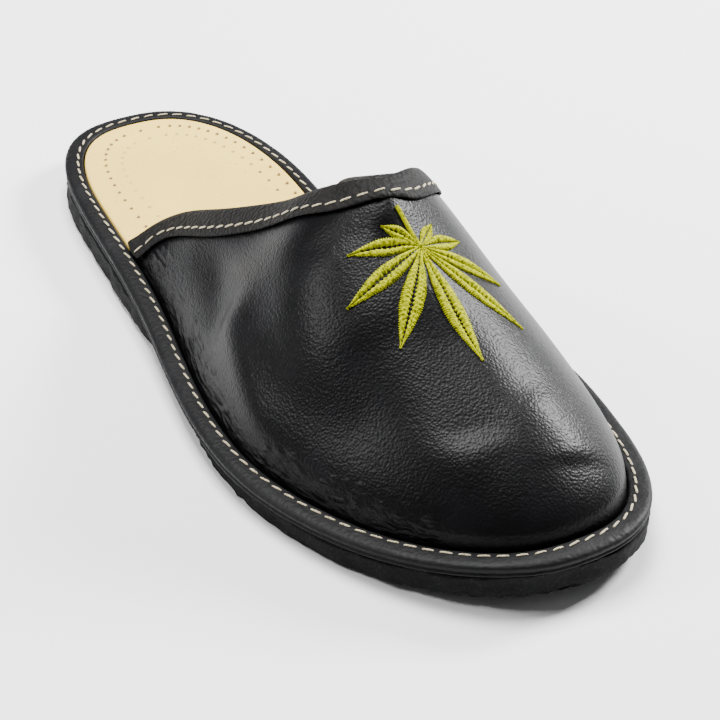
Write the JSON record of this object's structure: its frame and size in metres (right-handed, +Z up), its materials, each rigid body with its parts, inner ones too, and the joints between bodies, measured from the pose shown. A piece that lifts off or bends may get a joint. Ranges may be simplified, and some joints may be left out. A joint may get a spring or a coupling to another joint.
{
  "type": "slipper",
  "caption": "Backless mule slipper for the right foot: closed rounded toe, hollow leather upper with a bound slanting collar, stitched rand round a padded insole, low rubber sole.",
  "frame": {"origin": "under the middle of the slipper's box, on the floor it stands on", "axes": "+X to the toe, +Y to the big toe side, +Z up"},
  "size_m": [0.264, 0.1102, 0.0718],
  "materials": {
    "outsole": "matt black micro-rubber with a fine speckle",
    "rand": "black leather, satin, with a cream stitch line",
    "insole": "pale beige pigskin, matt, with pinholes at the heel",
    "upper": "black grained leather, satin, soft creases",
    "collar_binding": "black leather strip, matt, with a cream stitch line",
    "leaf_embroidery": "yellow-green satin stitch thread"
  },
  "bodies": {
    "root": {"outsole": "outsole", "rand": "rand", "insole": "insole", "upper": "upper", "collar_binding": "collar_binding", "leaf_embroidery": "leaf_embroidery"}
  },
  "joints": []
}
